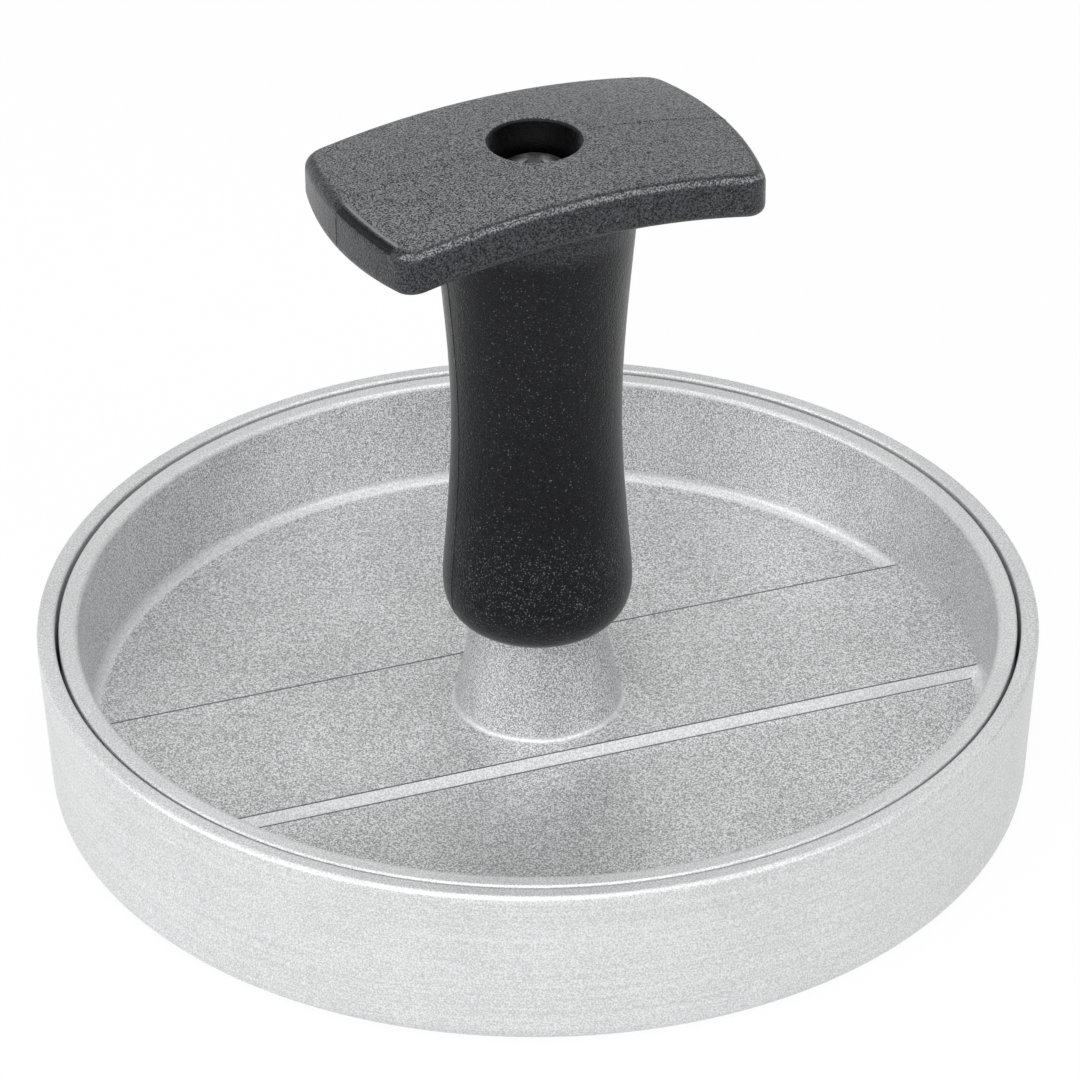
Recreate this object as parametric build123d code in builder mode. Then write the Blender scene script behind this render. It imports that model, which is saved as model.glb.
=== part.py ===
from build123d import *
import os

# A two-piece cast aluminium burger press with a moulded T handle.
# Millimetres. The origin is the middle of the pan's underside, +Z is up and X runs along the handle's bar.

# Pan that the meat is pressed in
pan_radius = 60.0
pan_foot_radius = 58.95
pan_height = 21.0
pan_floor = 2.4
cavity_radius = 57.85
cavity_foot_radius = 57.3
pan_foot_round = 2.5
pan_rim_bevel = 0.5
cavity_rim_bevel = 0.35
cavity_foot_round = 1.5
foot_ring_width = 6.0
foot_ring_height = 0.6

# Shallow ridges that mark the patty and let it go, on both pressing faces
ridge_height = 0.6
ridge_width = 2.4
ridge_pitch = 10.0
ridge_count = 9
ridge_reach = 49.0
ridge_draft = 30.0

# Dished plate that presses the meat
plate_radius = 57.4
plate_foot_radius = 56.85
plate_base = pan_floor + 2 * ridge_height
plate_rim = 20.8
dish_radius = 55.1
dish_foot_radius = 54.1
dish_floor = 7.1
dish_foot_round = 2.0
plate_foot_round = 1.5
plate_rim_bevel = 0.35
dish_rim_round = 0.6

# Raised band across the floor of the dish, turned a little from the handle's bar
band_turn = 5.4
band_height = 1.2
band_half_width = 12.4
band_bevel = 0.7
band_reach = 54.5

# Cone boss and the spigot that the handle stands on
cone_foot_radius = 10.1
cone_foot_round = 0.8
cone_top_radius = 7.4
cone_top = 22.8
spigot_radius = 5.5
spigot_top_radius = 5.2
spigot_top = 38.5
thread_radius = 2.0
tapped_hole_radius = 2.1
tapped_hole_depth = 14.0

# Grip of the handle, a waisted turned form
grip_base = 20.9
grip_base_radius = 8.8
grip_heel_radius = 10.4
grip_heel_height = 22.3
grip_bulge_radius = 11.15
grip_bulge_height = 29.1
grip_shoulder_radius = 10.6
grip_shoulder_height = 35.8
grip_waist_radius = 10.05
grip_waist_height = 46.6
grip_neck_radius = 10.6
grip_neck_height = 61.1
grip_top_radius = 12.2
grip_top_height = 78.6

# Bar of the handle, arched along its length and crowned across it
bar_top = 84.1
bar_thickness = 6.15
bar_half_length = 24.8
bar_half_width = 14.7
bar_crown = 1.0
bar_arch_drop = 2.85
bar_end_bow = 2.3
bar_corner_round = 3.0
bar_top_round = 1.6
bar_under_round = 1.2
bar_grip_round = 1.5

# Seat of the handle on the cone, and its screw
fit_gap = 0.15
socket_top_gap = 0.6
screw_tunnel_radius = 2.4
counterbore_radius = 5.33
counterbore_bevel = 0.3
head_depth = 2.6
head_radius = 4.0
head_height = 3.1
head_edge_height = 1.3
screw_length = 50.0
screw_tip_bevel = 0.6
recess_depth = 1.9
recess_arm_reach = 2.2
recess_arm_width = 1.1
recess_taper = 12.0
recess_turn = 15.0
washer_radius = 4.5
washer_hole_radius = 2.15
washer_thickness = 0.8

head_top = bar_top - head_depth
screw_seat = head_top - head_height
screw_tip = screw_seat - screw_length
neck_low = bar_top - bar_thickness - bar_arch_drop
washer_seat = screw_seat - washer_thickness
cone_slope = (cone_foot_radius - cone_top_radius) / (cone_top - dish_floor - band_height)
cone_mouth_radius = cone_top_radius + cone_slope * (cone_top - grip_base)
bar_arch_radius = (bar_half_length**2 + bar_arch_drop**2) / (2 * bar_arch_drop)
band_way = Vector(1, 0, 0).rotate(Axis.Z, -band_turn)
band_section = Plane(origin=(0, 0, 0), x_dir=Vector(0, 0, 1).cross(band_way), z_dir=band_way)


def circles_at(part, height):
    """The round edges of a part at one height, smallest first."""
    edges = part.edges().filter_by(GeomType.CIRCLE)
    return edges.filter_by_position(Axis.Z, height, height).sort_by(SortBy.RADIUS)


os.makedirs("parts", exist_ok=True)

# Pan: turned outline, then the ridges on its floor
with BuildPart() as mould_base:
    with BuildSketch(Plane.XZ):
        with BuildLine():
            Polyline(
                (0, foot_ring_height),
                (pan_foot_radius - foot_ring_width, foot_ring_height),
                (pan_foot_radius - foot_ring_width, 0),
                (pan_foot_radius, 0),
                (pan_radius, pan_height),
                (cavity_radius, pan_height),
                (cavity_foot_radius, pan_floor),
                (0, pan_floor),
                close=True,
            )
        make_face()
    revolve(axis=Axis.Z)
    fillet(circles_at(mould_base, 0)[-1], pan_foot_round)
    chamfer(circles_at(mould_base, pan_height)[-1], pan_rim_bevel)
    chamfer(circles_at(mould_base, pan_height)[0], cavity_rim_bevel)
    fillet(circles_at(mould_base, pan_floor)[-1], cavity_foot_round)
    with BuildSketch(Plane.XY.offset(pan_floor)):
        with GridLocations(0, ridge_pitch, 1, ridge_count):
            Rectangle(2 * ridge_reach, ridge_width)
        Circle(ridge_reach, mode=Mode.INTERSECT)
    extrude(amount=ridge_height, taper=ridge_draft)
mould_base.part.label = "mould_base"
export_step(mould_base.part, "parts/mould_base.step")

# Press plate: turned dish, raised band, cone boss with its spigot, and ridges underneath
with BuildPart() as press_plate:
    with BuildSketch(Plane.XZ):
        with BuildLine():
            Polyline(
                (0, plate_base),
                (plate_foot_radius, plate_base),
                (plate_radius, plate_rim),
                (dish_radius, plate_rim),
                (dish_foot_radius, dish_floor),
                (0, dish_floor),
                close=True,
            )
        make_face()
    revolve(axis=Axis.Z)
    fillet(circles_at(press_plate, plate_base)[-1], plate_foot_round)
    chamfer(circles_at(press_plate, plate_rim)[-1], plate_rim_bevel)
    fillet(circles_at(press_plate, plate_rim)[0], dish_rim_round)
    fillet(circles_at(press_plate, dish_floor)[-1], dish_foot_round)
    with BuildSketch(band_section):
        with BuildLine():
            Polyline(
                (-band_half_width - band_bevel, dish_floor),
                (-band_half_width, dish_floor + band_height),
                (band_half_width, dish_floor + band_height),
                (band_half_width + band_bevel, dish_floor),
                close=True,
            )
        make_face()
    extrude(amount=band_reach, both=True)
    with BuildSketch(Plane.XZ):
        with BuildLine():
            Polyline(
                (0, dish_floor),
                (cone_foot_radius, dish_floor),
                (cone_foot_radius, dish_floor + band_height),
                (cone_top_radius, cone_top),
                (spigot_radius, cone_top),
                (spigot_top_radius, spigot_top),
                (0, spigot_top),
                close=True,
            )
        make_face()
    revolve(axis=Axis.Z)
    fillet(circles_at(press_plate, dish_floor + band_height)[0], cone_foot_round)
    with Locations((0, 0, spigot_top)):
        Hole(tapped_hole_radius, depth=tapped_hole_depth)
    with BuildSketch(Plane(origin=(0, 0, plate_base), x_dir=band_way, z_dir=(0, 0, -1))):
        with GridLocations(0, ridge_pitch, 1, ridge_count):
            Rectangle(2 * ridge_reach, ridge_width)
        Circle(ridge_reach, mode=Mode.INTERSECT)
    extrude(amount=ridge_height, taper=ridge_draft)
press_plate.part.label = "press_plate"
export_step(press_plate.part, "parts/press_plate.step")

# Handle: arched and crowned bar, waisted grip under it, then the socket, the tunnel and the counterbore
with BuildPart() as handle:
    with BuildSketch(Plane.YZ):
        with BuildLine():
            crown = ThreePointArc(
                (-bar_half_width, bar_top - bar_crown),
                (0, bar_top),
                (bar_half_width, bar_top - bar_crown),
            )
            Polyline(
                crown @ 1,
                (bar_half_width, bar_top - bar_thickness),
                (-bar_half_width, bar_top - bar_thickness),
                crown @ 0,
            )
        make_face()
    revolve(axis=Axis((0, 0, bar_top - bar_arch_radius), (0, 1, 0)))
    with BuildSketch(Plane.XY.offset(bar_top)) as bar_plan:
        with BuildLine():
            end_bow = ThreePointArc(
                (bar_half_length - bar_end_bow, -bar_half_width),
                (bar_half_length, 0),
                (bar_half_length - bar_end_bow, bar_half_width),
            )
            far_bow = mirror(end_bow, about=Plane.YZ)
            Line(end_bow @ 0, far_bow @ 0)
            Line(end_bow @ 1, far_bow @ 1)
        make_face()
        fillet(bar_plan.vertices(), bar_corner_round)
    extrude(amount=-(bar_thickness + bar_arch_drop + bar_crown), mode=Mode.INTERSECT)
    fillet(handle.faces().sort_by(Axis.Z)[-1].edges(), bar_top_round)
    fillet(handle.faces().sort_by(SortBy.AREA)[-1].edges(), bar_under_round)
    with BuildSketch(Plane.XZ):
        with BuildLine():
            outline = Spline(
                (grip_base_radius, grip_base),
                (grip_heel_radius, grip_heel_height),
                (grip_bulge_radius, grip_bulge_height),
                (grip_shoulder_radius, grip_shoulder_height),
                (grip_waist_radius, grip_waist_height),
                (grip_neck_radius, grip_neck_height),
                (grip_top_radius, grip_top_height),
            )
            Polyline(outline @ 1, (0, grip_top_height), (0, grip_base), outline @ 0)
        make_face()
    revolve(axis=Axis.Z)
    neck = handle.edges(Select.NEW).filter_by_position(Axis.Z, neck_low, grip_top_height)
    fillet(neck, bar_grip_round)
    with Locations((0, 0, bar_top)):
        CounterBoreHole(screw_tunnel_radius, counterbore_radius, bar_top - washer_seat)
    chamfer(handle.edges(Select.NEW).sort_by(Axis.Z)[-1], counterbore_bevel)
    with BuildSketch(Plane.XZ):
        with BuildLine():
            Polyline(
                (0, grip_base),
                (cone_mouth_radius + fit_gap, grip_base),
                (cone_top_radius + fit_gap, cone_top),
                (spigot_radius + fit_gap, cone_top),
                (spigot_top_radius + fit_gap, spigot_top + socket_top_gap),
                (0, spigot_top + socket_top_gap),
                close=True,
            )
        make_face()
    revolve(axis=Axis.Z, mode=Mode.SUBTRACT)
handle.part.label = "handle"
export_step(handle.part, "parts/handle.step")

# Screw: domed head with a cross recess, and a plain shank in place of its thread
with BuildPart() as handle_screw:
    with BuildSketch(Plane.XZ):
        with BuildLine():
            dome = TangentArc((0, head_top), (head_radius, head_top - head_edge_height), tangent=(1, 0))
            Polyline(
                dome @ 1,
                (head_radius, screw_seat),
                (thread_radius, screw_seat),
                (thread_radius, screw_tip + screw_tip_bevel),
                (thread_radius - screw_tip_bevel, screw_tip),
                (0, screw_tip),
                dome @ 0,
            )
        make_face()
    revolve(axis=Axis.Z)
    with BuildSketch(Plane.XY.offset(head_top).rotated((0, 0, recess_turn))):
        Rectangle(2 * recess_arm_reach, recess_arm_width)
        Rectangle(recess_arm_width, 2 * recess_arm_reach)
    extrude(amount=-recess_depth, taper=recess_taper, mode=Mode.SUBTRACT)
handle_screw.part.label = "handle_screw"
export_step(handle_screw.part, "parts/handle_screw.step")

# Washer under the screw's head
with BuildPart() as screw_washer:
    with BuildSketch(Plane.XY.offset(washer_seat)):
        Circle(washer_radius)
        Circle(washer_hole_radius, mode=Mode.SUBTRACT)
    extrude(amount=washer_thickness)
screw_washer.part.label = "screw_washer"
export_step(screw_washer.part, "parts/screw_washer.step")
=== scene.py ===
import bpy
import math
from mathutils import Matrix, Vector
from mathutils.bvhtree import BVHTree


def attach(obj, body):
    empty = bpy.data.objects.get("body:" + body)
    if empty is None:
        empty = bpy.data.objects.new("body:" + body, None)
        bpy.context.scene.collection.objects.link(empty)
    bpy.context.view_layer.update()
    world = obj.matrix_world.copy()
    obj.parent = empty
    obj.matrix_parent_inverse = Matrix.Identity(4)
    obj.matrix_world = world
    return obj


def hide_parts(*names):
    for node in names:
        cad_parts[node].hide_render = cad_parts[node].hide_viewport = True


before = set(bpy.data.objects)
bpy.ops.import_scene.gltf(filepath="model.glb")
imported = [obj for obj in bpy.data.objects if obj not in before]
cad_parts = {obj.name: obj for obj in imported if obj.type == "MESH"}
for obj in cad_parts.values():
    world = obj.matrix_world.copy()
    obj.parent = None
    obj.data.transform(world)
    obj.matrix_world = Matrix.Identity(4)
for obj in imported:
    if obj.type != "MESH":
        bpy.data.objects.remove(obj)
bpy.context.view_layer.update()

MM = 0.001
WHITE = (1, 1, 1)

# Camera of the photograph, found from the rim, the foot and the hole of the press
IMAGE_SIZE = 1080
FOCAL_PIXELS = 5298
SENSOR_WIDTH = 36
CLIP_END = 20
CAMERA_TURN = math.radians(25.24)
CAMERA_LIFT = math.radians(31.73)
CAMERA_ROLL = math.radians(-0.38)
CAMERA_DISTANCE = 630.6 * MM
CAMERA_TARGET = Vector((0.29, -0.14, 30.48)) * MM

# Studio, in metres and shares of white
LAMP_AIM = Vector((0, 0, 0.03))
WORLD_LIGHT = 0.25
WORLD_SEEN = 0.656
FLOOR_SIZE = 8
FLOOR_TONE = (0.9, 0.9, 0.9)
FLOOR_ROUGHNESS = 0.9
FLOOR_SEEN = 0.95

# Turned outlines in mm, each corner as radius, height and rounding
PAN_FLOOR = 2.4
PAN_OUTLINE = [
    (20.0, 0.6, 0),
    (52.95, 0.6, 0.25),
    (52.95, 0.0, 0.25),
    (58.95, 0.0, 2.5),
    (60.0, 21.0, 0.6),
    (57.85, 21.0, 0.35),
    (57.3, PAN_FLOOR, 1.5),
    (20.0, PAN_FLOOR, 0),
]
PLATE_BASE = 3.6
DISH_FLOOR = 7.1
PLATE_OUTLINE = [
    (20.0, PLATE_BASE, 0),
    (56.85, PLATE_BASE, 1.5),
    (57.4, 20.8, 0.35),
    (55.1, 20.8, 0.6),
    (54.1, DISH_FLOOR, 1.4),
    (20.0, DISH_FLOOR, 0),
]
BAND_TURN = math.radians(5.4)
BAND_TOP = 8.3
BAND_HALF_WIDTH = 12.4
BAND_BEVEL = 0.7
BAND_REACH = 54.5
BAND_SINK = 0.5
CONE_OUTLINE = [
    (3.0, DISH_FLOOR + 0.3, 0),
    (12.0, DISH_FLOOR + 0.3, 0),
    (12.0, BAND_TOP - 0.02, 0),
    (10.1, BAND_TOP, 0.6),
    (7.4, 22.8, 0.3),
    (5.5, 22.8, 0.1),
    (5.2, 38.5, 0.3),
    (2.1, 38.5, 0.2),
    (2.1, 24.5, 0),
]
TURN_STEPS = 240
ARC_STEPS = 6
SUPPORT_GAP = 0.15
SMOOTH_BELOW = math.radians(32)

# Faces of the plate that are smoother than its blasted dish, in mm and as the normal's upward part; their
# lighter turned finish is partly a painted highlight on the slanted fillets and bevels
RIM_INSIDE = 55.0
RIM_LOW = 20.3
DISH_FOOT_INSIDE = 50
DISH_FOOT_TOP = DISH_FLOOR + 2.2
BEVEL_INSIDE = BAND_HALF_WIDTH - 0.1
CONE_ROOT_OUTSIDE = 12
CONE_ROOT_TOP = BAND_TOP + 1
SLANT_LOW = 0.1
SLANT_HIGH = 0.97

# Ridges on both pressing faces, in mm
RIDGE_HEIGHT = 0.6
RIDGE_HALF_WIDTH = 1.2
RIDGE_PITCH = 10.0
RIDGE_COUNT = 9
RIDGE_REACH = 49.0
RIDGE_DRAFT = math.radians(30)
RIDGE_SINK = 0.3
RIDGE_END_STEPS = 6

# Parting line of the moulded handle and the path it takes round the bar and the grip, in mm
LINE_HALF_WIDTH = 0.17
LINE_CREST_HALF_WIDTH = 0.0765
LINE_HEIGHT = 0.056
LINE_SINK = 0.05
LINE_SMOOTH_BELOW = math.radians(60)
LINE_START = 6.75
LINE_TOP_STEP = 0.75
LINE_TOP_COUNT = 21
LINE_END = 21.75
LINE_UNDER_COUNT = 8
LINE_GRIP_STEP = 1.2
LINE_GRIP_COUNT = 41
BAR_ARCH = 0.0046
BAR_CORE = 81.0
BAR_CORE_UNDER = 80.5
BAR_END_CORE = (LINE_END, 78.8)
GRIP_JOINT_CORE = (9.0, 78.5)
GRIP_INSIDE = 8.3
GRIP_LINE_TOP = 70.0
ROUND_END_ANGLES = range(80, -90, -10)
ROUND_JOINT_ANGLES = range(-18, -75, -6)

# Grain of both metals, and the painted shade lines along the band's bevels
CLOUD_SCALE = 90
CLOUD_DEPTH = 0.35
TURNING_STRETCH = (25, 25, 2600)
METAL_RELIEF = 0.04 * MM
EDGE_LINE_WIDTH = 0.26
EDGE_LINE_PLACES = (
    BAND_HALF_WIDTH - EDGE_LINE_WIDTH / 2,
    BAND_HALF_WIDTH + BAND_BEVEL + EDGE_LINE_WIDTH / 2,
)
EDGE_LINE_SOFT = (EDGE_LINE_WIDTH * 0.6, EDGE_LINE_WIDTH * 0.4)
EDGE_LINE_LOW = (DISH_FLOOR - 1, DISH_FLOOR - 0.5)
EDGE_LINE_HIGH = (BAND_TOP + 0.3, BAND_TOP + 0.1)
EDGE_LINE_REACH = (54.2, 54.2 * 0.99)
# Painted shade along the edges of the band's bevels
PAINTED_EDGE_SHADE_TONE = (0.13, 0.13, 0.135)

# Black plastic: dark and light tones by place, with painted light, highlights, glints and shade among
# them, the scales of its grain, and its shine
GRIP_TONES = ((0.001, 0.00105, 0.0013), (0.010, 0.0105, 0.0130))
BAR_TONES = ((0.004, 0.0041, 0.0050), (0.064, 0.0650, 0.0740))
# Light tones on the bar's top, painted light from above
PAINTED_TOP_LIGHT_TONES = ((0.006, 0.0062, 0.0070), (0.215, 0.2180, 0.2250))
# Painted highlight along the bar's near upper edge
PAINTED_EDGE_HIGHLIGHT_TONES = ((0.03, 0.031, 0.034), (0.27, 0.275, 0.29))
# Painted glints on the grip
PAINTED_GLINT_TONE = (0.16, 0.165, 0.175)
# Painted highlight in the strip inside the left end's crease
PAINTED_STRIP_HIGHLIGHT_TONE = (0.17, 0.177, 0.19)
# Painted shade in the left end's crease and inside the screw's hole
PAINTED_SHADE_TONE = (0.0005, 0.0005, 0.0006)
GRAIN_SCALE = 5000
PIT_SCALE = 1500
GLINT_SCALE = 5200
GLINT_SHARE = 0.75
BULGE_LIFT = 0.07
PIT_SHARE = 0.2
PIT_DEPTH = 0.8
CREASE_DEPTH = 3.0
PLASTIC_RELIEF = 0.09 * MM
PLASTIC_ROUGHNESS = 0.30
PLASTIC_SPECULAR = 0.19
PLASTIC_SHEEN = 0.09
SHEEN_ROUGHNESS = 0.35

# Smooth steps of the grain, each as its start and end
FLECK_SPAN = (0.42, 0.78)
SHINE_SPAN = (0.38, 0.68)
GLINT_SPAN = (0.73, 0.80)

# Smooth steps of a surface normal's upward or outward part
TOP_FACING = (0.90, 0.985)
NEAR_FACING = (-0.30, -0.42)
EDGE_FACING_LOW = (0.42, 0.60)
EDGE_FACING_HIGH = (0.88, 0.76)
END_FACING = (0.05, 0.2)

# Places on the handle and smooth steps between them, in mm
BAR_HALF_LENGTH = 24.8
BAR_HALF_WIDTH = 14.7
BAR_END_BOW = 2.3
BAR_LOW = (72.5, 75.5)
BULGE_LOW = (23.0, 27.0)
BULGE_HIGH = (40.0, 32.0)
HOLE_RADIUS = 5.45
HOLE_WALL = (HOLE_RADIUS * 1.03, HOLE_RADIUS * 1.01)
CREASE_INSET = 0.42
CREASE_SOFT = (0.36, 0.22)
CREASE_FAR_END = (1.2, -1.5)
CREASE_NEAR_END = (-12.0, -11.3)
STRIP_OUTER = (0.85, 0.98)
STRIP_INNER = (1.35, 1.15)

# Zinc plating
ZINC_CLOUD_SCALE = 900
ZINC_TONES = ((0.30, 0.30, 0.31), (0.62, 0.62, 0.63))
ZINC_ROUGHNESS = (0.22, 0.42)


class Shading:
    """The nodes of a material or world. Most values may be a number or the output of another node."""

    mix_first, mix_second, mix_result = 6, 7, 2

    def __init__(self, owner):
        owner.use_nodes = True
        self.nodes = owner.node_tree.nodes
        self.link = owner.node_tree.links.new

    def give(self, socket, value):
        """Sets a socket to a colour or a number, or links another node's output to it."""
        if isinstance(value, tuple):
            socket.default_value = (*value, 1)
        elif isinstance(value, (int, float)):
            socket.default_value = value
        else:
            self.link(value, socket)

    def place(self):
        return self.nodes.new("ShaderNodeTexCoord").outputs["Object"]

    def normal(self):
        return self.nodes.new("ShaderNodeNewGeometry").outputs["Normal"]

    def axes(self, vector):
        node = self.nodes.new("ShaderNodeSeparateXYZ")
        self.link(vector, node.inputs[0])
        return tuple(node.outputs)

    def calculate(self, operation, first, second=0):
        node = self.nodes.new("ShaderNodeMath")
        node.operation = operation
        self.give(node.inputs[0], first)
        self.give(node.inputs[1], second)
        return node.outputs[0]

    def plus(self, first, second):
        return self.calculate("ADD", first, second)

    def minus(self, first, second):
        return self.calculate("SUBTRACT", first, second)

    def times(self, first, *others):
        product = first
        for other in others:
            product = self.calculate("MULTIPLY", product, other)
        return product

    def away(self, value, middle):
        return self.calculate("ABSOLUTE", self.minus(value, middle))

    def step(self, value, low, high):
        """A smooth step of the value: 0 at low and 1 at high, whichever of them is larger."""
        node = self.nodes.new("ShaderNodeMapRange")
        node.interpolation_type = "SMOOTHSTEP"
        self.link(value, node.inputs["Value"])
        node.inputs["From Min"].default_value = low
        node.inputs["From Max"].default_value = high
        return node.outputs[0]

    def step_mm(self, value, low, high):
        return self.step(value, low * MM, high * MM)

    def inside(self, x, y, radii):
        """A smooth step about the vertical axis: 0 at the first radius and 1 at the second, in mm."""
        squared = self.plus(self.times(x, x), self.times(y, y))
        first, second = radii
        return self.step(squared, (first * MM)**2, (second * MM)**2)

    def noise(self, place, scale, detail, rough):
        node = self.nodes.new("ShaderNodeTexNoise")
        node.inputs["Scale"].default_value = scale
        node.inputs["Detail"].default_value = detail
        node.inputs["Roughness"].default_value = rough
        self.link(place, node.inputs["Vector"])
        return node.outputs[0]

    def mix(self, share, first, second):
        """A colour between two others: the first at a share of 0 and the second at 1."""
        node = self.nodes.new("ShaderNodeMix")
        node.data_type = "RGBA"
        self.link(share, node.inputs[0])
        self.give(node.inputs[self.mix_first], first)
        self.give(node.inputs[self.mix_second], second)
        return node.outputs[self.mix_result]

    def relief(self, height, strength, depth):
        node = self.nodes.new("ShaderNodeBump")
        node.inputs["Strength"].default_value = strength
        node.inputs["Distance"].default_value = depth
        self.link(height, node.inputs["Height"])
        return node.outputs[0]

    def end_in_mix(self, share, first, second, end):
        """Ends the tree in the first shader at a share of 0 and the second at 1."""
        node = self.nodes.new("ShaderNodeMixShader")
        self.link(share, node.inputs[0])
        self.link(first.outputs[0], node.inputs[1])
        self.link(second.outputs[0], node.inputs[2])
        self.link(node.outputs[0], self.nodes[end].inputs["Surface"])

    def seen_share(self, share):
        """A value that is share for camera, glossy and transmission rays, and 0 for the rest."""
        path = self.nodes.new("ShaderNodeLightPath").outputs
        seen = path["Is Camera Ray"]
        for kind in ("Is Glossy Ray", "Is Transmission Ray"):
            seen = self.calculate("MAXIMUM", seen, path[kind])
        return self.times(seen, share)


def new_material(name):
    material = bpy.data.materials.new(name)
    shading = Shading(material)
    return material, shading, shading.nodes["Principled BSDF"]


def add_camera():
    back = Vector((
        -math.sin(CAMERA_TURN) * math.cos(CAMERA_LIFT),
        -math.cos(CAMERA_TURN) * math.cos(CAMERA_LIFT),
        math.sin(CAMERA_LIFT),
    ))
    data = bpy.data.cameras.new("camera")
    data.sensor_width = SENSOR_WIDTH
    data.lens = SENSOR_WIDTH * FOCAL_PIXELS / IMAGE_SIZE
    data.clip_end = CLIP_END
    camera = bpy.data.objects.new("camera", data)
    bpy.context.scene.collection.objects.link(camera)
    flat_right = back.cross(Vector((0, 0, 1))).normalized() * -1
    flat_up = back.cross(flat_right)
    right = flat_right * math.cos(CAMERA_ROLL) + flat_up * math.sin(CAMERA_ROLL)
    up = flat_up * math.cos(CAMERA_ROLL) - flat_right * math.sin(CAMERA_ROLL)
    turn = Matrix((right, up, back)).transposed().to_4x4()
    camera.matrix_world = Matrix.Translation(CAMERA_TARGET + back * CAMERA_DISTANCE) @ turn
    bpy.context.scene.camera = camera


def add_lamp(name, place, size, power):
    """A rectangular lamp that points at the press, in metres and watts."""
    data = bpy.data.lights.new(name, "AREA")
    data.shape = "RECTANGLE"
    data.size, data.size_y = size
    data.energy = power
    lamp = bpy.data.objects.new(name, data)
    bpy.context.scene.collection.objects.link(lamp)
    lamp.location = place
    lamp.rotation_mode = "QUATERNION"
    lamp.rotation_quaternion = (LAMP_AIM - Vector(place)).to_track_quat("-Z", "Y")


def add_world():
    """A dim white world that looks brighter to the camera and in reflections."""
    world = bpy.data.worlds.new("studio")
    bpy.context.scene.world = world
    shading = Shading(world)
    lighting = shading.nodes["Background"]
    seen = shading.nodes.new("ShaderNodeBackground")
    for node, strength in ((lighting, WORLD_LIGHT), (seen, WORLD_SEEN)):
        node.inputs["Color"].default_value = (*WHITE, 1)
        node.inputs["Strength"].default_value = strength
    shading.end_in_mix(shading.seen_share(1), lighting, seen, "World Output")


def add_floor():
    """A pale matt floor that is nearly white to the camera and in reflections, and keeps the shadow."""
    bpy.ops.mesh.primitive_plane_add(size=FLOOR_SIZE)
    floor = bpy.context.object
    floor.name = "floor"
    material, shading, shader = new_material("pale_floor")
    shader.inputs["Base Color"].default_value = (*FLOOR_TONE, 1)
    shader.inputs["Roughness"].default_value = FLOOR_ROUGHNESS
    shader.inputs["Specular IOR Level"].default_value = 0
    glow = shading.nodes.new("ShaderNodeEmission")
    shading.end_in_mix(shading.seen_share(FLOOR_SEEN), shader, glow, "Material Output")
    floor.data.materials.append(material)


def painted_band_shade_lines(shading, place):
    """Share of the painted shade lines along both edges of the band's bevels."""
    x, y, z = shading.axes(place)
    across = shading.plus(shading.times(x, math.sin(BAND_TURN)), shading.times(y, math.cos(BAND_TURN)))
    offset = shading.away(across, 0)
    low = shading.step_mm(z, *EDGE_LINE_LOW)
    high = shading.step_mm(z, *EDGE_LINE_HIGH)
    inside = shading.inside(x, y, EDGE_LINE_REACH)
    lines = 0
    for edge in EDGE_LINE_PLACES:
        away = shading.away(offset, edge * MM)
        line = shading.step_mm(away, *EDGE_LINE_SOFT)
        lines = shading.plus(line, lines)
    return shading.times(lines, low, high, inside)


def turning_marks(shading, place, depth):
    """Fine level streaks of a lathe tool, about zero."""
    stretched = shading.nodes.new("ShaderNodeMapping")
    stretched.inputs["Scale"].default_value = TURNING_STRETCH
    shading.link(place, stretched.inputs["Vector"])
    marks = shading.noise(stretched.outputs[0], 1.0, detail=2.0, rough=0.6)
    return shading.times(shading.minus(marks, 0.5), depth)


def cast_aluminium(name, tones, grain, pepper, bump, roughness, metallic, turned=0):
    """Cast aluminium with a fine light and dark grain and a cloudy tone, turned on a lathe or blasted."""
    material, shading, shader = new_material(name)
    place = shading.place()
    fine = shading.noise(place, grain, detail=1.0, rough=0.5)
    cloud = shading.noise(place, CLOUD_SCALE, detail=2.0, rough=0.5)
    drift = shading.times(shading.minus(cloud, 0.5), CLOUD_DEPTH)
    share = shading.plus(shading.step(fine, *pepper), drift)
    height = fine
    if turned:
        marks = turning_marks(shading, place, turned)
        share = shading.plus(share, marks)
        height = shading.plus(height, marks)
    colour = shading.mix(share, *tones)
    # Blasted metal also gets the painted shade lines along the band's bevels
    if not turned:
        colour = shading.mix(painted_band_shade_lines(shading, place), colour, PAINTED_EDGE_SHADE_TONE)
    shading.link(colour, shader.inputs["Base Color"])
    shading.link(shading.relief(height, bump, METAL_RELIEF), shader.inputs["Normal"])
    shader.inputs["Metallic"].default_value = metallic
    shader.inputs["Roughness"].default_value = roughness
    return material


def end_crease_and_strip(shading, x, y, upward):
    """Shares of the crease along the left end's upper edge, painted as a line of shade, and of the strip
    inside it, painted as a highlight.
    """
    bow = BAR_END_BOW / (BAR_HALF_WIDTH**2 * MM)
    edge = shading.minus(shading.times(y, y, bow), BAR_HALF_LENGTH * MM)
    inset = shading.minus(x, edge)
    high = shading.times(
        shading.step_mm(y, *CREASE_FAR_END),
        shading.step_mm(y, *CREASE_NEAR_END),
        shading.step(upward, *END_FACING),
    )
    crease = shading.step_mm(shading.away(inset, CREASE_INSET * MM), *CREASE_SOFT)
    highlight_strip = shading.times(shading.step_mm(inset, *STRIP_OUTER), shading.step_mm(inset, *STRIP_INNER))
    return shading.times(high, crease), shading.times(high, highlight_strip)


def painted_edge_highlight_share(shading, on_bar, nearward, upward):
    """Share of the rounded upper edge along the bar's near side, where a highlight is painted in lighter
    colour.
    """
    return shading.times(
        on_bar,
        shading.step(nearward, *NEAR_FACING),
        shading.step(upward, *EDGE_FACING_LOW),
        shading.step(upward, *EDGE_FACING_HIGH),
    )


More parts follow.
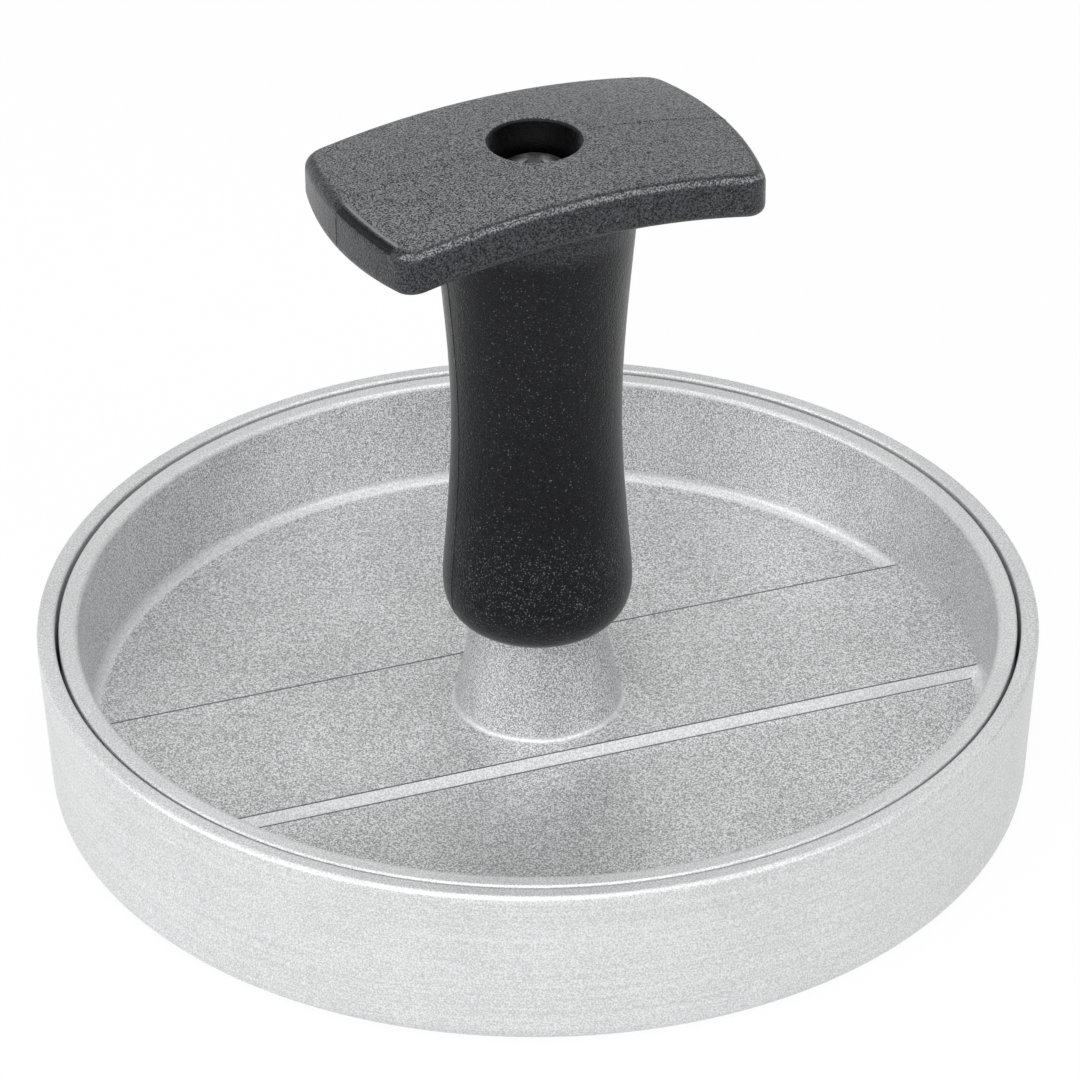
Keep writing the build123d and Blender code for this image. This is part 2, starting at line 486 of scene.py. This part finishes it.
def painted_glint_share(shading, place, z):
    """Share of the painted glints, bright flecks that are thickest on the bulge at the foot of the grip.
    """
    bulge = shading.times(shading.step_mm(z, *BULGE_LOW), shading.step_mm(z, *BULGE_HIGH))
    glints = shading.noise(place, GLINT_SCALE, detail=0.0, rough=0.5)
    lifted = shading.plus(glints, shading.times(bulge, BULGE_LIFT))
    return shading.times(shading.step(lifted, *GLINT_SPAN), GLINT_SHARE)


def black_plastic(name):
    """Moulded black plastic with a fine grain, greyer on the bar, with painted light on its top, painted
    highlights along its near upper edge and in a strip at its left end, painted glints on the grip, and
    painted shade in the end's crease and the screw's hole.
    """
    material, shading, shader = new_material(name)
    place = shading.place()
    x, y, z = shading.axes(place)
    nearward, upward = shading.axes(shading.normal())[1:]
    grain = shading.noise(place, GRAIN_SCALE, detail=1.0, rough=0.5)
    pits = shading.noise(place, PIT_SCALE, detail=2.0, rough=0.6)
    fleck = shading.step(shading.plus(grain, shading.times(pits, PIT_SHARE)), *FLECK_SPAN)
    shine = shading.step(grain, *SHINE_SPAN)
    on_bar = shading.step_mm(z, *BAR_LOW)
    # Upward faces of the bar are painted lighter, as light falling from above
    lit_top = shading.times(on_bar, shading.step(upward, *TOP_FACING))
    # A highlight painted along the bar's near upper edge
    edge_highlight = painted_edge_highlight_share(shading, on_bar, nearward, upward)
    # The end's crease is painted in shade and the strip inside it as a highlight
    crease, highlight_strip = end_crease_and_strip(shading, x, y, upward)
    # Inside of the screw's hole, painted in shade
    in_hole = shading.inside(x, y, HOLE_WALL)
    colour = shading.mix(fleck, *GRIP_TONES)
    # Painted light, highlights, glints and shade laid over the grained tones
    for share, tone in (
        (on_bar, shading.mix(fleck, *BAR_TONES)),
        (lit_top, shading.mix(fleck, *PAINTED_TOP_LIGHT_TONES)),
        (edge_highlight, shading.mix(shine, *PAINTED_EDGE_HIGHLIGHT_TONES)),
        (painted_glint_share(shading, place, z), PAINTED_GLINT_TONE),
        (highlight_strip, PAINTED_STRIP_HIGHLIGHT_TONE),
        (crease, PAINTED_SHADE_TONE),
        (in_hole, PAINTED_SHADE_TONE),
    ):
        colour = shading.mix(share, colour, tone)
    shading.link(colour, shader.inputs["Base Color"])
    height = shading.plus(grain, shading.times(pits, PIT_DEPTH))
    height = shading.minus(height, shading.times(crease, CREASE_DEPTH))
    shading.link(shading.relief(height, 1.0, PLASTIC_RELIEF), shader.inputs["Normal"])
    shader.inputs["Roughness"].default_value = PLASTIC_ROUGHNESS
    shader.inputs["Specular IOR Level"].default_value = PLASTIC_SPECULAR
    shader.inputs["Sheen Weight"].default_value = PLASTIC_SHEEN
    shader.inputs["Sheen Roughness"].default_value = SHEEN_ROUGHNESS
    return material


def zinc_steel(name):
    """Zinc-plated steel with a faint cloudy dullness."""
    material, shading, shader = new_material(name)
    cloud = shading.noise(shading.place(), ZINC_CLOUD_SCALE, detail=3.0, rough=0.6)
    shading.link(shading.mix(cloud, *ZINC_TONES), shader.inputs["Base Color"])
    smooth, dull = ZINC_ROUGHNESS
    roughness = shading.plus(shading.times(cloud, dull - smooth), smooth)
    shading.link(roughness, shader.inputs["Roughness"])
    shader.inputs["Metallic"].default_value = 1
    return material


def rounded(corners):
    """Points of an open outline whose corners are rounded, with a support point beside each arc."""
    points = [Vector(corners[0][:2])]
    for before, corner, after in zip(corners, corners[1:], corners[2:]):
        here = Vector(corner[:2])
        rounding = corner[2]
        if rounding == 0:
            points.append(here)
            continue
        back = (Vector(before[:2]) - here).normalized()
        ahead = (Vector(after[:2]) - here).normalized()
        half = back.angle(ahead) / 2
        reach = rounding / math.tan(half)
        centre = here + (back + ahead).normalized() * rounding / math.sin(half)
        start = here + back * reach - centre
        end = here + ahead * reach - centre
        sweep = math.atan2(start.cross(end), start.dot(end))
        points.append(here + back * (reach + SUPPORT_GAP))
        for step in range(ARC_STEPS + 1):
            points.append(centre + Matrix.Rotation(sweep * step / ARC_STEPS, 2) @ start)
        points.append(here + ahead * (reach + SUPPORT_GAP))
    points.append(Vector(corners[-1][:2]))
    return points


def soften(mesh, smooth_below):
    mesh.polygons.foreach_set("use_smooth", [True] * len(mesh.polygons))
    mesh.set_sharp_from_angle(angle=smooth_below)


def new_piece(name, points, faces, material, smooth_below=SMOOTH_BELOW):
    mesh = bpy.data.meshes.new(name)
    mesh.from_pydata([Vector(point) * MM for point in points], [], faces)
    mesh.validate()
    piece = bpy.data.objects.new(name, mesh)
    bpy.context.scene.collection.objects.link(piece)
    mesh.materials.append(material)
    soften(mesh, smooth_below)
    return piece


def turned_piece(name, corners, material):
    """A closed solid of revolution whose outline starts and ends on flat caps."""
    outline = rounded(corners)
    points = []
    for step in range(TURN_STEPS):
        angle = math.tau * step / TURN_STEPS
        points += [(at.x * math.cos(angle), at.x * math.sin(angle), at.y) for at in outline]
    count = len(outline)
    faces = []
    for step in range(TURN_STEPS):
        here = step * count
        there = (step + 1) % TURN_STEPS * count
        faces += [(here + i, there + i, there + i + 1, here + i + 1) for i in range(count - 1)]
    faces.append([step * count for step in reversed(range(TURN_STEPS))])
    faces.append([step * count + count - 1 for step in range(TURN_STEPS)])
    return new_piece(name, points, faces, material)


def prism(name, low_loop, high_loop, material):
    """A closed solid between two loops of equally many points."""
    count = len(low_loop)
    sides = [(i, (i + 1) % count, (i + 1) % count + count, i + count) for i in range(count)]
    caps = [list(reversed(range(count))), list(range(count, 2 * count))]
    return new_piece(name, list(low_loop) + list(high_loop), sides + caps, material)


def merge(piece, tools):
    """Unites the tools with the piece and removes them."""
    for tool in tools:
        union = piece.modifiers.new("union", "BOOLEAN")
        union.operation = "UNION"
        union.solver = "EXACT"
        union.object = tool
    bpy.context.view_layer.update()
    evaluated = piece.evaluated_get(bpy.context.evaluated_depsgraph_get())
    merged = bpy.data.meshes.new_from_object(evaluated)
    piece.modifiers.clear()
    piece.data = merged
    soften(merged, SMOOTH_BELOW)
    for tool in tools:
        bpy.data.objects.remove(tool)


def ridge_loop(middle, shrink, height, turn):
    """The outline of one ridge at one level: two straight sides between arcs of the ridged circle."""
    half_width = RIDGE_HALF_WIDTH - shrink
    reach = RIDGE_REACH - shrink
    loop = []
    for side in (1, -1):
        for step in range(RIDGE_END_STEPS + 1):
            across = middle + side * half_width * (2 * step / RIDGE_END_STEPS - 1)
            along = side * math.sqrt(reach**2 - across**2)
            loop.append((
                along * math.cos(turn) - across * math.sin(turn),
                along * math.sin(turn) + across * math.cos(turn),
                height,
            ))
    return loop


def add_ridges(base, outward, turn, material):
    """Ridges that stand up from a level where outward is 1, and down from it where outward is -1."""
    draft = math.tan(RIDGE_DRAFT)
    ridges = []
    for index in range(RIDGE_COUNT):
        middle = (index - (RIDGE_COUNT - 1) / 2) * RIDGE_PITCH
        root = ridge_loop(middle, -RIDGE_SINK * draft, base - outward * RIDGE_SINK, turn)
        crest = ridge_loop(middle, RIDGE_HEIGHT * draft, base + outward * RIDGE_HEIGHT, turn)
        low, high = (root, crest) if outward > 0 else (crest, root)
        ridges.append(prism(f"ridge_{index}", low, high, material))
    return ridges


def add_band(material):
    """The raised band, as a bar with bevelled sides that runs from wall to wall."""
    sink = BAND_SINK * BAND_BEVEL / (BAND_TOP - DISH_FLOOR)
    section = [
        (-BAND_HALF_WIDTH - BAND_BEVEL - sink, DISH_FLOOR - BAND_SINK),
        (BAND_HALF_WIDTH + BAND_BEVEL + sink, DISH_FLOOR - BAND_SINK),
        (BAND_HALF_WIDTH, BAND_TOP),
        (-BAND_HALF_WIDTH, BAND_TOP),
    ]
    along = Vector((math.cos(BAND_TURN), -math.sin(BAND_TURN), 0))
    across = Vector((math.sin(BAND_TURN), math.cos(BAND_TURN), 0))
    up = Vector((0, 0, 1))
    ends = [[along * end + across * v + up * z for v, z in section] for end in (-BAND_REACH, BAND_REACH)]
    return prism("band", ends[1], ends[0], material)


def add_pan(material):
    pan = turned_piece("pan_casting", PAN_OUTLINE, material)
    merge(pan, add_ridges(PAN_FLOOR, 1, 0, material))
    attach(pan, "base")
    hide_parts("mould_base")


def is_smoother(face):
    """Whether a face of the plate is part of its rim, dish foot, band bevels or cone root, which take the
    lighter turned finish, partly as a painted highlight.
    """
    across = Vector((math.sin(BAND_TURN), math.cos(BAND_TURN), 0))
    radius = face.center.xy.length / MM
    height = face.center.z / MM
    offset = abs(face.center.dot(across)) / MM
    slanted = SLANT_LOW < face.normal.z < SLANT_HIGH
    rim = radius > RIM_INSIDE and height > RIM_LOW
    foot = radius > DISH_FOOT_INSIDE and slanted and DISH_FLOOR < height < DISH_FOOT_TOP
    bevel = offset > BEVEL_INSIDE and slanted and DISH_FLOOR < height < BAND_TOP
    root = radius < CONE_ROOT_OUTSIDE and slanted and height < CONE_ROOT_TOP
    return rim or foot or bevel or root


def add_plate(material, smoother_material):
    plate = turned_piece("plate_casting", PLATE_OUTLINE, material)
    cone = turned_piece("cone", CONE_OUTLINE, material)
    merge(plate, [add_band(material)])
    merge(plate, [cone] + add_ridges(PLATE_BASE, -1, -BAND_TURN, material))
    # The turned finish's lighter tone on slanted plate faces is partly a painted highlight
    plate.data.materials.append(smoother_material)
    for face in plate.data.polygons:
        face.material_index = int(is_smoother(face))
    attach(plate, "press")
    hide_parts("press_plate")


def parting_rays():
    """Starts and angles of rays that meet the handle's right side, from the hole down to the grip."""
    along_top = [LINE_START + LINE_TOP_STEP * i for i in range(LINE_TOP_COUNT)]
    along_under = [LINE_END - i for i in range(LINE_UNDER_COUNT)]
    rays = [((x, BAR_CORE - x * x * BAR_ARCH), 90) for x in along_top]
    rays += [(BAR_END_CORE, angle) for angle in ROUND_END_ANGLES]
    rays += [((x, BAR_CORE_UNDER - x * x * BAR_ARCH), -90) for x in along_under]
    rays += [(GRIP_JOINT_CORE, angle) for angle in ROUND_JOINT_ANGLES]
    rays += [((GRIP_INSIDE, GRIP_LINE_TOP - LINE_GRIP_STEP * i), 0) for i in range(LINE_GRIP_COUNT)]
    return rays


def surface_points(tree, side):
    """Points and normals round one side of the handle, in the plane that its mould parts in."""
    found = []
    for (x, z), angle in parting_rays():
        start = Vector((side * x, 0, z)) * MM
        way = Vector((side * math.cos(math.radians(angle)), 0, math.sin(math.radians(angle))))
        at, normal = tree.ray_cast(start, way)[:2]
        found.append((at / MM, normal if normal.dot(way) > 0 else -normal))
    return found


def add_parting_line(name, side, material):
    """The fine raised line where the halves of the handle's mould met."""
    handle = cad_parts["handle"]
    tree = BVHTree.FromObject(handle, bpy.context.evaluated_depsgraph_get())
    across = Vector((0, 1, 0))
    section = [
        (-LINE_HALF_WIDTH, -LINE_SINK),
        (-LINE_HALF_WIDTH, 0),
        (-LINE_CREST_HALF_WIDTH, LINE_HEIGHT),
        (LINE_CREST_HALF_WIDTH, LINE_HEIGHT),
        (LINE_HALF_WIDTH, 0),
        (LINE_HALF_WIDTH, -LINE_SINK),
    ]
    points = []
    for at, out in surface_points(tree, side):
        points += [at + across * v + out * rise for v, rise in section]
    count = len(section)
    rings = len(points) // count
    faces = []
    for ring in range(rings - 1):
        here = ring * count
        there = here + count
        for i in range(count):
            j = (i + 1) % count
            faces.append((here + i, here + j, there + j, there + i))
    faces.append(list(reversed(range(count))))
    faces.append(list(range((rings - 1) * count, rings * count)))
    line = new_piece(name, points, faces, material, LINE_SMOOTH_BELOW)
    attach(line, "press")


def dress(node, material):
    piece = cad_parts[node]
    piece.data.materials.clear()
    piece.data.materials.append(material)


add_camera()
add_world()
add_floor()
add_lamp("top_panel", place=(0, 0, 1.1), size=(1.0, 1.0), power=5.0)
add_lamp("left_panel", place=(-1.0, 0.1, 0.45), size=(0.8, 0.7), power=4.4)
add_lamp("near_left_panel", place=(-0.75, -0.75, 0.6), size=(0.7, 0.7), power=4.5)
add_lamp("near_right_panel", place=(0.55, -0.9, 0.6), size=(0.7, 0.7), power=3.2)
add_lamp("high_near_panel", place=(-0.22, -0.52, 0.95), size=(0.45, 0.14), power=2.4)

wall_metal = cast_aluminium(
    "turned_aluminium",
    tones=((0.52, 0.525, 0.53), (0.77, 0.773, 0.778)),
    grain=5200,
    pepper=(0.34, 0.66),
    bump=0.12,
    roughness=0.45,
    metallic=0.5,
    turned=0.9,
)
dish_metal = cast_aluminium(
    "blasted_aluminium",
    tones=((0.31, 0.312, 0.315), (0.88, 0.884, 0.892)),
    grain=5850,
    pepper=(0.36, 0.64),
    bump=0.3,
    roughness=0.43,
    metallic=0.6,
)
plastic = black_plastic("grained_plastic")
steel = zinc_steel("zinc_plated_steel")
add_pan(wall_metal)
add_plate(dish_metal, wall_metal)
dress("handle", plastic)
dress("handle_screw", steel)
dress("screw_washer", steel)
add_parting_line("parting_line_left", -1, plastic)
add_parting_line("parting_line_right", 1, plastic)

bpy.context.scene.view_settings.view_transform = "Standard"
